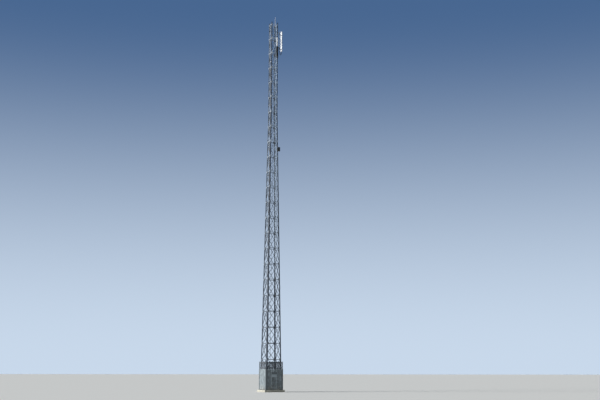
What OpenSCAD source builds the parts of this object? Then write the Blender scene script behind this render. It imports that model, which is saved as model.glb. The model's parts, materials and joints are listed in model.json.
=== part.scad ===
/* [Tower] */
// Height of one bracing bay, from strut to strut
bay_h = 1500; // [1400:10:1600]
// Bracing bays in one tier of the tower
tier_bays = 6; // [5:1:6]
// Width over the legs at ground level
base_w = 1550; // [1400:10:1700]
// Width over the legs in the straight top tier
top_w = 690; // [640:10:780]
// How far the legs stand above the top strut line
leg_over = 200; // [150:10:250]

/* [Legs] */
// Flange width of the leg angles, bottom tier
leg_w_1 = 110; // [100:1:120]
// Flange width of the leg angles, second tier
leg_w_2 = 100; // [90:1:110]
// Flange width of the leg angles, third tier
leg_w_3 = 90; // [80:1:100]
// Flange width of the leg angles, top tier
leg_w_4 = 80; // [70:1:90]
// Wall of the leg angles
leg_t = 9; // [7:0.5:12]
// Flat that fills the root of the leg angles
leg_root = 6; // [4:1:9]
// Length of the cover angle at each leg splice
splice_l = 420; // [300:10:480]
// Wall of the cover angle
splice_t = 8; // [6:1:10]
// How much narrower the cover angle is than the leg
splice_in = 10; // [6:1:16]

/* [Bracing] */
// Flange width of the bars, two lower tiers
brace_w_low = 45; // [40:1:55]
// Flange width of the bars, two upper tiers
brace_w_high = 40; // [35:1:48]
// Wall of the diagonals and struts
brace_t = 5; // [4:0.5:6]
// Edge distance past the bolt at the end of a bar
bar_edge = 25; // [20:1:30]
// Distance of a diagonal's bolt above or below the strut line
bolt_off = 65; // [60:1:75]
// Thickness of the gusset plates
gusset_t = 6; // [5:0.5:8]
// Room between a bar's bolt and the toe of the leg
toe_room = 44; // [40:1:52]
// Height of a gusset plate past the bolt
gusset_edge = 38; // [30:1:45]
// Height that a gusset plate loses towards its free end
gusset_cut = 32; // [20:1:40]

/* [Base] */
// Distance from the cladding to the edge of the concrete plinth
plinth_edge = 150; // [120:5:250]
// Height of the concrete plinth
plinth_h = 200; // [150:10:300]
// Chamfer along the top edge of the plinth
plinth_chamfer = 20; // [10:1:40]
// Side of a leg's base plate
foot_side = 230; // [200:5:240]
// Thickness of a leg's base plate
foot_t = 25; // [20:1:35]
// Height of the cleats that clasp a leg's foot
cleat_h = 180; // [140:10:220]
// Thickness of the cleats
cleat_t = 10; // [8:1:14]
// Distance of the lowest strut above the cleats
cleat_gap = 45; // [35:5:120]

/* [Cladding] */
// Room between the legs' heels and the sheet cladding
clad_room = 75; // [70:1:120]
// Height of the top edge of the sheets above ground
clad_top = 2100; // [1900:10:2300]
// Gap under the sheets
clad_gap = 30; // [20:5:60]
// Thickness of the sheet
sheet_t = 2; // [1.5:0.5:3]
// Pressed ribs in one sheet
sheet_ribs = 7; // [5:1:8]
// Width of a rib across its top
rib_w = 50; // [40:1:60]
// Depth of a rib
rib_d = 18; // [12:1:22]
// Height of a rail behind the sheet
rail_h = 60; // [50:1:70]
// Depth of a rail's inward flange
rail_d = 30; // [25:1:35]
// Flange width of the corner posts
post_w = 60; // [50:1:70]
// Wall of the corner posts and rails
post_t = 5; // [4:0.5:6]

/* [Guard rings] */
// Radius of the spiked rings above the sheets
ring_r = 320; // [280:5:340]
// Rings along one side, outer row
ring_count = 5; // [3:1:6]
// Width of the spiked strip
ring_strip = 26; // [18:1:30]
// Thickness of the spiked strip
ring_t = 4; // [3:0.5:6]
// Radius of the line wires
wire_r = 4; // [3:0.5:5]
// Height of the rings above the sheets
ring_lift = 30; // [20:5:60]

/* [Ladder] */
// Width over the ladder stiles
ladder_w = 360; // [320:10:380]
// Distance between rungs
rung_pitch = 300; // [250:10:320]
// Radius of a rung
rung_r = 10; // [8:1:12]
// Depth of a stile
stile_d = 40; // [30:1:45]
// Wall of a stile
stile_t = 6; // [5:1:8]
// Distance of the ladder from the back bracing
ladder_off = 60; // [55:1:90]
// Height of the ladder's foot above the base plates
ladder_lift = 75; // [50:5:150]

/* [Feeder cables] */
// Radius of a feeder cable
feeder_r = 14; // [10:1:16]
// Number of feeder cables
feeder_count = 4; // [2:1:5]
// Distance between feeder cables
feeder_pitch = 42; // [38:1:50]
// Distance of the feeder cables' top end below the top strut line
feeder_drop = 3900; // [3600:50:4300]
// Wall of the hanger angles that carry the feeder cables
hanger_t = 5; // [4:0.5:8]
// Height of a hanger angle
hanger_h = 30; // [25:1:40]
// Length of the sleeve over a cable's joint at the bend
sleeve_l = 120; // [80:10:160]

/* [Antenna] */
// Height of the panel antenna
antenna_h = 2050; // [1900:10:2150]
// Width of the panel antenna
antenna_w = 155; // [140:1:200]
// Depth of the panel antenna
antenna_d = 85; // [70:1:110]
// Distance of the antenna's middle below the middle of the arms
antenna_low = 90; // [60:5:150]
// Direction the antenna faces, turned from the right side
antenna_yaw = 22; // [0:1:40]
// Distance from the pipe to the antenna's middle
antenna_reach = 265; // [230:5:300]
// Radius of the antenna pipe
pipe_r = 30; // [28:1:38]
// Wall of the antenna pipe
pipe_t = 4; // [3:0.5:5]
// Length of pipe past the lowest clamp and the highest arm
pipe_past = 100; // [60:5:200]
// Distance of the pipe from the right face of the tower
pipe_off = 200; // [170:5:240]
// Height of an arm's pipe block
arm_h = 80; // [70:1:100]
// Distance of an arm below the middle of its bay
arm_low = 100; // [60:5:150]
// Height of an antenna clamp
clamp_h = 60; // [50:1:70]
// Gap between an arm and the clamp below it
clamp_gap = 90; // [60:5:120]

/* [Radio units] */
// Height of a radio unit
radio_h = 480; // [420:10:520]
// Width of a radio unit
radio_w = 180; // [160:5:220]
// Depth of a radio unit
radio_d = 120; // [100:5:150]
// Cooling fins of a radio unit
radio_fins = 9; // [7:1:11]
// Gap between two units on the rail
unit_gap = 50; // [30:5:80]
// Distance of the lower radio unit's underside below the rail's lower bracket
radio_low = 400; // [300:10:450]
// Height of the slim filter unit
filter_h = 860; // [700:10:900]
// Width of the slim filter unit
filter_w = 120; // [100:5:150]
// Depth of the slim filter unit
filter_d = 140; // [100:5:160]
// Side of the square channel that carries the units
channel_w = 41; // [35:1:50]
// Wall of that channel
channel_t = 3; // [2.5:0.5:4]
// Length of channel past the units
channel_past = 100; // [60:5:150]

/* [Link box] */
// Height of the link box
link_h = 390; // [340:10:440]
// Width of the link box
link_w = 290; // [220:5:320]
// Depth of the link box
link_d = 120; // [80:5:140]
// Distance of the link box's underside below the bend of the legs
link_drop = 4020; // [3750:10:4250]

/* [Lightning rod] */
// Height of the rod's tube above the top strut line
rod_rise = 800; // [600:10:1000]
// Length of the rod's thin tip
rod_tip_l = 250; // [150:10:400]
// Radius of the rod's tube
rod_tube_r = 20; // [16:1:24]
// Radius of the rod's tip
rod_tip_r = 8; // [6:1:10]
// Length of tube that the leg's clamps hold
rod_held = 620; // [500:10:700]

/* [Hidden] */

seat = 0.3;
sink = 0.5;
overcut = 1;
tier_h = tier_bays * bay_h;
kink_z = 3 * tier_h;
tower_h = 4 * tier_h;
slope = (base_w - top_w) / 2 / kink_z;
lean = atan(slope);
leg_sizes = [leg_w_1, leg_w_2, leg_w_3, leg_w_4];
splice_up = bay_h / 2;
foot_z = plinth_h + foot_t;
low_strut = foot_z + cleat_h + cleat_gap;
clad_side = base_w + 2 * clad_room;
plinth_side = clad_side + 2 * plinth_edge;
ladder_joint = 10;
feeder_top = tower_h - feeder_drop;
feeder_lift = 10;
hanger_end = 10;
hanger_room = 35;
feeder_depth = -brace_w_low - hanger_t - seat - feeder_r;
hanger_in = leg_w_1 + toe_room + hanger_room;
arm_z = [tower_h - 1.5 * bay_h - arm_low - arm_h / 2, tower_h - bay_h / 2 - arm_low - arm_h / 2];
clamp_z = [arm_z[0] - clamp_gap - clamp_h, arm_z[1] - clamp_gap - clamp_h];
pipe_bottom = clamp_z[0] - pipe_past;
pipe_top = arm_z[1] + arm_h + pipe_past;
antenna_mid = (arm_z[0] + arm_z[1] + arm_h) / 2 - antenna_low;
channel_hold_z = [tower_h - 2 * bay_h, tower_h - bay_h];
channel_in = 5;
channel_u = top_w / 2 - leg_w_4 - toe_room - channel_in;
channel_off = gusset_t + brace_w_high + 2 * seat;
radio_z = [channel_hold_z[0] - radio_low, channel_hold_z[0] - radio_low + radio_h + unit_gap];
filter_z = radio_z[1] + radio_h + 2 * unit_gap;
channel_bottom = radio_z[0] - channel_past;
channel_top = max(filter_z + filter_h, channel_hold_z[1]) + channel_past;

function half_w(z) = z < kink_z ? base_w / 2 - slope * z : top_w / 2;
function tier_of(z) = z < tier_h + splice_up ? 0
    : z < 2 * tier_h + splice_up ? 1
    : z < 3 * tier_h + splice_up ? 2 : 3;
function leg_w_at(z) = leg_sizes[tier_of(z)];
function brace_w_at(tier) = tier < 2 ? brace_w_low : brace_w_high;
function bolt_u(z) = half_w(z) - leg_w_at(z) - toe_room;
function level_z(level) = level == 0 ? low_strut : level * bay_h;
function tier_below(level) = min(3, floor((level - 1) / tier_bays));

// Places a drawing of one side: x across, y up the side, z outwards
module on_side(side, tier) {
    rotate([0, 0, 90 * side])
        if (tier < 3)
            translate([0, -base_w / 2, 0]) rotate([90 - lean, 0, 0]) children();
        else
            translate([0, -top_w / 2, 0]) rotate([90, 0, 0]) children();
}

// Distance up the side of a height above ground
function up(z, tier) = tier < 3 ? z / cos(lean) : z;

// Outline of an angle section whose flat flange faces outwards
module angle_out(w, t, face) {
    polygon([[-w / 2, face], [w / 2, face], [w / 2, face + w],
        [w / 2 - t, face + w], [w / 2 - t, face + t], [-w / 2, face + t]]);
}

// Outline of an angle section whose flat flange faces inwards
module angle_in(w, t, face) {
    polygon([[-w / 2, face], [-w / 2, face - t], [w / 2 - t, face - t],
        [w / 2 - t, face - w], [w / 2, face - w], [w / 2, face]]);
}

// A bar of the given outline from one bolt to another
module bar(from, to, past) {
    run = norm(to - from);
    turn = atan2(to[1] - from[1], to[0] - from[0]);
    translate([from[0], from[1], 0]) rotate([0, 0, turn])
        translate([-past, 0, 0]) rotate([90, 0, 90])
            linear_extrude(height = run + 2 * past) children();
}

// Two crossed diagonals with a packing disc between them
module cross_bay(level, tier) {
    z0 = level_z(level);
    z1 = level_z(level + 1);
    w = brace_w_at(tier);
    v0 = up(z0, tier) + bolt_off;
    v1 = up(z1, tier) - bolt_off;
    u0 = bolt_u(z0);
    u1 = bolt_u(z1);
    out_face = seat + gusset_t - sink;
    in_face = seat + sink;
    disc_in = 4;
    bar([-u0, v0], [u1, v1], bar_edge) angle_out(w, brace_t, out_face);
    bar([u0, v0], [-u1, v1], bar_edge) mirror([1, 0]) angle_in(w, brace_t, in_face);
    translate([0, v0 + (v1 - v0) * u0 / (u0 + u1), seat])
        cylinder(h = gusset_t, r = w / 2 - disc_in, $fn = 24);
}

// A level strut between the legs
module strut(level, tier) {
    z = level_z(level);
    u = bolt_u(z);
    bar([-u, up(z, tier)], [u, up(z, tier)], bar_edge)
        angle_in(brace_w_at(tier), brace_t, seat + sink);
}

// The plate that joins the bars to one leg: low and high say which halves it has
module gusset(level, tier, low, high) {
    z = level_z(level);
    leg_w = leg_w_at(z);
    toe = half_w(z) - leg_w;
    lap = 0.7;
    toe_corner = 4;
    free_room = 5;
    split = 2;
    leg_side = toe + leg_w * lap;
    free_side = bolt_u(z) - bar_edge - free_room;
    tall = bolt_off + gusset_edge;
    short = tall - gusset_cut;
    up_z = high ? tall : -split;
    down_z = low ? -tall : split;
    up_free = high ? short : -split;
    down_free = low ? -short : split;
    translate([0, up(z, tier), seat])
        linear_extrude(height = gusset_t)
            polygon([[leg_side, down_z], [leg_side, up_z], [toe - toe_corner, up_z],
                [free_side, up_free], [free_side, down_free], [toe - toe_corner, down_z]]);
}

// The bars and plates of one side over one tier
module lattice(side, tier) {
    first = tier * tier_bays;
    last = first + tier_bays;
    color("lightslategray") on_side(side, tier) union() {
        for (level = [first : last - 1]) cross_bay(level, tier);
        for (level = [first : last])
            if (level > first || tier == 0) strut(level, tier);
        for (level = [first : last]) {
            low = level > first;
            high = level < last;
            gusset(level, tier, low, high);
            mirror([1, 0, 0]) gusset(level, tier, low, high);
        }
    }
}

// Outline of a leg angle with its heel at the origin
module leg_outline(w) {
    polygon([[0, 0], [0, w], [-leg_t, w], [-leg_t, leg_t + leg_root],
        [-leg_t - leg_root, leg_t], [-w, leg_t], [-w, 0]]);
}

// Outline of a cover angle that wraps the outside of a leg
module cover_outline(w) {
    translate([-w, -splice_t]) square([w + splice_t, splice_t + sink]);
    translate([-sink, -splice_t]) square([splice_t + sink, w + splice_t]);
}

// Tilts an upright drawing at the corner onto the sloping corner line
module on_corner_line() {
    steep = sqrt(1 + 2 * slope * slope);
    translate([base_w / 2, -base_w / 2, 0])
        rotate([-asin(slope / steep), -lean, 0]) children();
}

// Keeps what lies between two heights
module between(z0, z1) {
    intersection() {
        children();
        translate([0, -base_w, z0]) cube([base_w, base_w, z1 - z0]);
    }
}

// The sloping leg of one corner up to the splice above the bend
module lower_leg(corner) {
    margin = 50;
    color("slategray") rotate([0, 0, 90 * corner]) union() {
        for (tier = [0 : 2]) {
            z0 = tier == 0 ? foot_z + seat : tier * tier_h + splice_up;
            z1 = tier == 2 ? kink_z : (tier + 1) * tier_h + splice_up;
            between(z0, z1) on_corner_line() translate([0, 0, z0 - margin])
                linear_extrude(height = z1 - z0 + 2 * margin) leg_outline(leg_sizes[tier]);
        }
        for (tier = [1 : 2])
            on_corner_line() translate([0, 0, tier * tier_h + splice_up - splice_l / 2])
                linear_extrude(height = splice_l) cover_outline(leg_sizes[tier] - splice_in);
        translate([top_w / 2, -top_w / 2, kink_z])
            linear_extrude(height = splice_up) leg_outline(leg_sizes[2]);
    }
}

// The upright leg of one corner with its splice cover
module upper_leg(corner) {
    joint_z = kink_z + splice_up;
    color("slategray") rotate([0, 0, 90 * corner])
        translate([top_w / 2, -top_w / 2, 0]) {
            translate([0, 0, joint_z])
                linear_extrude(height = tower_h + leg_over - joint_z) leg_outline(leg_sizes[3]);
            translate([0, 0, joint_z - splice_l / 2])
                linear_extrude(height = splice_l) cover_outline(leg_sizes[3] - splice_in);
        }
}

// The concrete block that carries the tower
module plinth() {
    half = plinth_side / 2;
    color("tan") intersection_for(turn = [0, 90])
        rotate([90, 0, turn]) linear_extrude(height = plinth_side, center = true)
            polygon([[-half, 0], [half, 0], [half, plinth_h - plinth_chamfer],
                [half - plinth_chamfer, plinth_h], [plinth_chamfer - half, plinth_h],
                [-half, plinth_h - plinth_chamfer]]);
}

// Base plates with the cleats that clasp each foot
module base_plates() {
    heel = half_w(foot_z);
    middle = heel - leg_w_1 / 2;
    cleat_in = 5;
    color("gray") for (corner = [0 : 3]) rotate([0, 0, 90 * corner]) {
        translate([middle - foot_side / 2, -middle - foot_side / 2, plinth_h])
            cube([foot_side, foot_side, foot_t]);
        for (flip = [0, 1]) mirror([flip, flip, 0])
            intersection() {
                on_side(0, 0) translate([heel - leg_w_1 + cleat_in, plinth_h, seat])
                    cube([leg_w_1 - 2 * cleat_in, cleat_h + foot_t, cleat_t]);
                translate([0, -base_w, plinth_h + sink]) cube([base_w, base_w, 2 * cleat_h]);
            }
    }
}

// Outline of a ribbed sheet seen from above, with its inner face on the x axis
module sheet_outline(length) {
    pitch = length / sheet_ribs;
    rib_foot = rib_w / 2 + rib_d;
    flat = pitch / 2 - rib_foot;
    lap = 2 * sheet_t;
    for (i = [0 : sheet_ribs - 1]) translate([(i + 0.5) * pitch - length / 2, 0]) {
        polygon([[-rib_foot, 0], [-rib_w / 2, -rib_d], [rib_w / 2, -rib_d], [rib_foot, 0],
            [rib_foot - lap, 0], [rib_w / 2 - sheet_t / 2, sheet_t - rib_d],
            [sheet_t / 2 - rib_w / 2, sheet_t - rib_d], [lap - rib_foot, 0]]);
        for (way = [-1, 1])
            translate([way * (rib_foot + flat / 2), -sheet_t / 2])
                square([flat + lap, sheet_t], center = true);
    }
}

// One side of the cladding: a ribbed sheet on three rails
module cladding(side) {
    end_gap = 2;
    length = clad_side - 2 * (post_t + end_gap);
    bottom = plinth_h + clad_gap;
    rail_l = clad_side - 2 * post_w - 2 * seat;
    rail_edge = 40;
    face = clad_side / 2;
    color(side == 3 ? "lightsteelblue" : "dimgray") rotate([0, 0, 90 * side]) {
        translate([0, -face - seat, bottom])
            linear_extrude(height = clad_top - bottom) sheet_outline(length);
        for (z = [bottom + rail_edge, (bottom + clad_top) / 2, clad_top - rail_edge - rail_h])
            translate([-rail_l / 2, -face - seat - sink, z]) {
                cube([rail_l, post_t, rail_h]);
                translate([0, 0, rail_h - post_t]) cube([rail_l, rail_d, post_t]);
            }
    }
}

// The four corner posts of the cladding, each on its own foot plate
module cladding_posts() {
    post_top = clad_top + 2 * (ring_lift + ring_r);
    plate = 90;
    plate_t = 8;
    plate_in = 12;
    color("slategray") for (corner = [0 : 3]) rotate([0, 0, 90 * corner])
        translate([clad_side / 2, -clad_side / 2, 0]) {
            translate([0, 0, plinth_h])
                linear_extrude(height = post_top - plinth_h) {
                    translate([-post_w, 0]) square([post_w, post_t]);
                    translate([-post_t, 0]) square([post_t, post_w]);
                }
            translate([-plate_in, plate_in - plate, plinth_h]) cube([plate, plate, plate_t]);
        }
}

// A row of spiked rings, on one side of the line wires
module ring_row(count, pitch, from) {
    for (i = [0 : count - 1])
        translate([(i - (count - 1) / 2) * pitch, 0, from])
            linear_extrude(height = ring_t) difference() {
                circle(r = ring_r, $fn = 48);
                circle(r = ring_r - ring_strip, $fn = 48);
            }
}

// Two rows of overlapping spiked rings on two line wires, along each side
module guard_rings() {
    corner_room = 2 * (post_t + seat + wire_r);
    pitch = (clad_side - 2 * ring_r - 2 * corner_room) / (ring_count - 1);
    middle = clad_top + ring_lift + ring_r;
    run = clad_side - post_w;
    color("silver") for (side = [0 : 3]) rotate([0, 0, 90 * side])
        translate([0, -clad_side / 2 + post_t + seat + wire_r, middle]) rotate([90, 0, 0]) {
            ring_row(ring_count, pitch, -sink);
            ring_row(ring_count - 1, pitch, sink - ring_t);
            for (z = [-ring_r / 2, ring_r / 2])
                translate([-run / 2, z, 0]) rotate([0, 90, 0]) cylinder(h = run, r = wire_r, $fn = 16);
        }
}

// A stretch of ladder inside the back face, between two heights
module ladder(z0, z1, tier) {
    inner = -ladder_off;
    first = ceil(z0 / rung_pitch);
    last = floor((z1 - rung_r) / rung_pitch);
    v0 = up(z0, tier);
    v1 = up(z1, tier);
    lug_w = 30;
    lug_t = 6;
    lug_gap = 2;
    rung_in = 1;
    color("silver") on_side(2, tier) union() {
        for (way = [-1, 1]) {
            translate([way * (ladder_w - stile_t) / 2 - stile_t / 2, v0, inner - stile_d])
                cube([stile_t, v1 - v0, stile_d]);
            for (level = [1 : 4 * tier_bays]) {
                z = level * bay_h;
                w = brace_w_at(tier_below(level));
                if (z > z0 + w && z < z1)
                    translate([way * (ladder_w - lug_w) / 2 - lug_w / 2,
                            up(z, tier) + w / 2 + seat, inner - stile_d])
                        cube([lug_w, lug_t, ladder_off + stile_d - brace_t - lug_gap]);
            }
        }
        for (i = [first : last])
            translate([rung_in - ladder_w / 2, up(i * rung_pitch, tier), inner - stile_d / 2])
                rotate([0, 90, 0]) cylinder(h = ladder_w - 2 * rung_in, r = rung_r, $fn = 16);
    }
}

// Distance of a feeder cable from the heels of the near legs
function feeder_in(i) = hanger_in + hanger_end + (i + 0.5) * feeder_pitch;

// Feeder cables up the inside of the left face, beside the front leg
module feeder_cables() {
    foot = plinth_h + feeder_lift;
    joint_gap = 5;
    sleeve_wall = 5;
    sleeve_up = brace_w_high / 2 - 2;
    low = up(foot, 0);
    high = up(kink_z, 0) - joint_gap;
    color("dimgray") for (i = [0 : feeder_count - 1]) union() {
        shift = half_w(foot) - half_w(kink_z);
        on_side(3, 0) translate([half_w(foot) - feeder_in(i), low, feeder_depth])
            rotate([-90, 0, atan2(shift, high - low)])
                cylinder(h = norm([shift, high - low]), r = feeder_r, $fn = 16);
        on_side(3, 3) translate([top_w / 2 - feeder_in(i), kink_z, feeder_depth]) rotate([-90, 0, 0]) {
            translate([0, 0, joint_gap])
                cylinder(h = feeder_top - kink_z - joint_gap, r = feeder_r, $fn = 16);
            translate([0, 0, sleeve_up - sleeve_l])
                cylinder(h = sleeve_l, r = feeder_r + sleeve_wall, $fn = 24);
        }
    }
}

// Hanger angles that carry the feeder cables on the struts
module cable_hangers() {
    hanger_l = feeder_count * feeder_pitch + 2 * hanger_end;
    grip = 25;
    color("gray") for (level = [1 : floor(feeder_top / bay_h)]) {
        tier = tier_below(level);
        z = level * bay_h;
        w = brace_w_at(tier);
        on_side(3, tier)
            translate([half_w(z) - hanger_in - hanger_l, up(z, tier) + w / 2 + seat,
                    -brace_w_low - hanger_t]) {
                cube([hanger_l, hanger_h, hanger_t]);
                cube([hanger_l, hanger_t, brace_w_low + hanger_t - w + grip]);
            }
    }
}

// Moves a drawing to the middle of the antenna pipe, at ground level
module at_pipe() {
    translate([top_w / 2 + pipe_off, leg_w_4 / 2 - top_w / 2, 0]) children();
}

// Outline of the antenna's radome seen from above, its back towards the pipe
module radome_outline(grow) {
    w = antenna_w + 2 * grow;
    d = antenna_d + 2 * grow;
    rounding = 0.35;
    r = d * rounding;
    translate([-d / 2, -w / 2]) square([d - r, w]);
    translate([-d / 2, r - w / 2]) square([d, w - 2 * r]);
    for (way = [-1, 1]) translate([d / 2 - r, way * (w / 2 - r)]) circle(r = r, $fn = 32);
}

// Panel antenna with end caps and connectors
module antenna() {
    cap_h = 30;
    cap_wall = 3;
    plug_h = 28;
    plug_r = 11;
    plug_pitch = 32;
    bottom = antenna_mid - antenna_h / 2;
    top = antenna_mid + antenna_h / 2;
    color("white") at_pipe() rotate([0, 0, antenna_yaw]) translate([antenna_reach, 0, 0]) {
        translate([0, 0, bottom + cap_h])
            linear_extrude(height = antenna_h - 2 * cap_h) radome_outline(0);
        for (z = [bottom, top - cap_h])
            translate([0, 0, z]) linear_extrude(height = cap_h) radome_outline(cap_wall);
        for (way = [-1.5 : 1 : 1.5])
            translate([0, way * plug_pitch, bottom - plug_h])
                cylinder(h = plug_h + overcut, r = plug_r, $fn = 24);
    }
}

// Upright pipe that carries the antenna
module antenna_pipe() {
    pipe_l = pipe_top - pipe_bottom;
    color("slategray") at_pipe() translate([0, 0, pipe_bottom]) difference() {
        cylinder(h = pipe_l, r = pipe_r, $fn = 48);
        translate([0, 0, -overcut])
            cylinder(h = pipe_l + 2 * overcut, r = pipe_r - pipe_t, $fn = 48);
    }
}

// A square block with a bore for the antenna pipe
module pipe_block(wall, high) {
    side = 2 * (pipe_r + wall);
    difference() {
        translate([-side / 2, -side / 2, 0]) cube([side, side, high]);
        translate([0, 0, -overcut]) cylinder(h = high + 2 * overcut, r = pipe_r + seat, $fn = 48);
    }
}

// Arms from the right leg to the pipe
module pipe_arms() {
    wall = 14;
    beam = 50;
    plate_t = 10;
    plate_over = 20;
    plate_in = 5;
    beam_l = pipe_off - pipe_r - wall - seat + overcut;
    color("slategray") for (z = arm_z) {
        at_pipe() translate([0, 0, z]) pipe_block(wall, arm_h);
        translate([top_w / 2 + seat, leg_w_4 / 2 - top_w / 2, z]) {
            translate([0, -beam / 2, (arm_h - beam) / 2]) cube([beam_l, beam, beam]);
            translate([0, plate_in - leg_w_4 / 2, -plate_over])
                cube([plate_t, leg_w_4 - 2 * plate_in, arm_h + 2 * plate_over]);
        }
    }
}

// Tilt clamps between the pipe and the antenna's back
module antenna_clamps() {
    wall = 12;
    beam = 40;
    start = pipe_r + wall - overcut;
    color("gray") for (z = clamp_z)
        at_pipe() translate([0, 0, z]) rotate([0, 0, antenna_yaw]) {
            pipe_block(wall, clamp_h);
            translate([start, -beam / 2, (clamp_h - beam) / 2])
                cube([antenna_reach - antenna_d / 2 - seat - start, beam, beam]);
        }
}

// Moves a drawing to the middle of the channel's back, at ground level
module at_channel() {
    translate([channel_u, -top_w / 2 - channel_off, 0]) children();
}

// Upright channel in front of the face, held at two strut levels
module equipment_rail() {
    hold_h = 30;
    inside = channel_w - 2 * channel_t;
    long = channel_top - channel_bottom;
    color("slategray") at_channel() {
        translate([-channel_w / 2, -channel_w, channel_bottom]) difference() {
            cube([channel_w, channel_w, long]);
            translate([channel_t, -overcut, -overcut])
                cube([inside, channel_w - channel_t + overcut, long + 2 * overcut]);
        }
        for (z = channel_hold_z)
            translate([-channel_w / 2, -overcut, z - hold_h / 2])
                cube([channel_w, channel_off - gusset_t - 2 * seat + overcut, hold_h]);
    }
}

// A slim light filter unit near the top of the rail
module filter_unit() {
    color("gainsboro") at_channel()
        translate([-filter_w / 2, -channel_w - seat - filter_d, filter_z])
            cube([filter_w, filter_d, filter_h]);
}

// Two finned radio units, one over the other
module radio_units() {
    pitch = radio_w / radio_fins;
    fin_d = 30;
    edge = 30;
    color("dimgray") for (z = radio_z)
        at_channel() translate([-radio_w / 2, -channel_w - seat - radio_d, z])
            difference() {
                cube([radio_w, radio_d, radio_h]);
                for (i = [0 : radio_fins - 2])
                    translate([(i + 0.75) * pitch, -overcut, edge])
                        cube([pitch / 2, fin_d + overcut, radio_h - 2 * edge]);
            }
}

// A link box on the front right leg, below the bend
module link_box() {
    z = kink_z - link_drop;
    hold = 60;
    hold_d = 60;
    color("dimgray") on_side(0, 0) translate([half_w(z), up(z, 0), seat]) {
        translate([-leg_w_3 / 2 - hold / 2, (link_h - 2 * hold) / 2, 0])
            cube([hold, 2 * hold, hold_d + overcut]);
        translate([-link_w / 2, 0, hold_d]) cube([link_w, link_h, link_d]);
    }
}

// Lightning rod clamped in the back right leg's corner
module lightning_rod() {
    rod_in = leg_t + 30;
    clamp_w = 24;
    clamp_tall = 50;
    clamp_edge = 60;
    bottom = tower_h - rod_held;
    top = tower_h + rod_rise;
    reach = rod_in - leg_t - seat;
    color("silver") rotate([0, 0, 90]) translate([top_w / 2 - rod_in, rod_in - top_w / 2, 0]) {
        translate([0, 0, bottom]) cylinder(h = top - bottom, r = rod_tube_r, $fn = 24);
        translate([0, 0, top - overcut]) cylinder(h = rod_tip_l + overcut, r = rod_tip_r, $fn = 16);
        for (z = [bottom + clamp_edge, tower_h - clamp_edge - clamp_tall])
            translate([0, -clamp_w / 2, z]) cube([reach, clamp_w, clamp_tall]);
    }
}

plinth();
base_plates();
lower_leg(0);  // lower_leg_front_right
lower_leg(1);  // lower_leg_back_right
lower_leg(2);  // lower_leg_back_left
lower_leg(3);  // lower_leg_front_left
upper_leg(0);  // upper_leg_front_right
upper_leg(1);  // upper_leg_back_right
upper_leg(2);  // upper_leg_back_left
upper_leg(3);  // upper_leg_front_left
lattice(0, 0);  // lattice_front_1
lattice(0, 1);  // lattice_front_2
lattice(0, 2);  // lattice_front_3
lattice(0, 3);  // lattice_front_4
lattice(1, 0);  // lattice_right_1
lattice(1, 1);  // lattice_right_2
lattice(1, 2);  // lattice_right_3
lattice(1, 3);  // lattice_right_4
lattice(2, 0);  // lattice_back_1
lattice(2, 1);  // lattice_back_2
lattice(2, 2);  // lattice_back_3
lattice(2, 3);  // lattice_back_4
lattice(3, 0);  // lattice_left_1
lattice(3, 1);  // lattice_left_2
lattice(3, 2);  // lattice_left_3
lattice(3, 3);  // lattice_left_4
cladding(0);  // cladding_front
cladding(1);  // cladding_right
cladding(2);  // cladding_back
cladding(3);  // cladding_left
cladding_posts();
guard_rings();
ladder(foot_z + ladder_lift, kink_z, 0);  // ladder_lower
ladder(kink_z + ladder_joint, tower_h, 3);  // ladder_upper
feeder_cables();
cable_hangers();
antenna();
antenna_pipe();
pipe_arms();
antenna_clamps();
equipment_rail();
filter_unit();
radio_units();
link_box();
lightning_rod();
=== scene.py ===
"""Looks, bolts and small fittings of a square lattice cell tower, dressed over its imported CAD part."""
import json
import math
import random

import bmesh
import bpy
from mathutils import Matrix, Vector


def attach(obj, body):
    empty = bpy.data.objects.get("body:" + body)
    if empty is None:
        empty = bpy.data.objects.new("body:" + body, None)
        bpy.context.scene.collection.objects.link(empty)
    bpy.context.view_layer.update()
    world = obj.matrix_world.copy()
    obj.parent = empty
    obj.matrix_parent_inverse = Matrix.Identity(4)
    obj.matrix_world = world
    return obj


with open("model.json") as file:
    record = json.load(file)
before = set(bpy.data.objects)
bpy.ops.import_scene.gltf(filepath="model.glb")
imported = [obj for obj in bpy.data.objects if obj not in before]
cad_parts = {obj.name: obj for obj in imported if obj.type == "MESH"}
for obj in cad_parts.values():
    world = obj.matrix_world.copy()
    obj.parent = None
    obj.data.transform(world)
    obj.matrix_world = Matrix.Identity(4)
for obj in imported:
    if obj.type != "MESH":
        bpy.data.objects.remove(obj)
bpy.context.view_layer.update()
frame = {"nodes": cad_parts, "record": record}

# Camera, as the photograph was taken: metres and degrees, with its picture 600 pixels wide
PHOTO_WIDE = 600
FOCAL_PX = 946
SENSOR_MM = 36
SEE_FROM = 0.5
SEE_TO = 2000
EYE_HEIGHT = 1.85
EYE_AWAY = 90.1
EYE_PITCH = 10.3
EYE_ROLL = 0.12
TOWER_TURN = 22.0
TOWER_LEFT = 1.71

# Light, backdrop and floor
KEY_COLOUR = (1.0, 0.985, 0.96)
KEY_STRENGTH = 6.6
KEY_ANGLE = 34.0
KEY_HEIGHT = 16.0
KEY_TURN = 275.0
FILL_COLOUR = (0.68, 0.85, 1.0)
FILL_STRENGTH = 0.2
BACKDROP_LOW = (0.58, 0.69, 0.83)
BACKDROP_HIGH = (0.065, 0.135, 0.28)
BACKDROP_RISE = 0.38
FLOOR_COLOUR = (0.78, 0.775, 0.76)
FLOOR_REACH = 600

# Seams between pieces, in metres: the gap of two faces that touch, and the bite of two that are welded
SEAT = 0.0003
SINK = 0.0005

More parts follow.
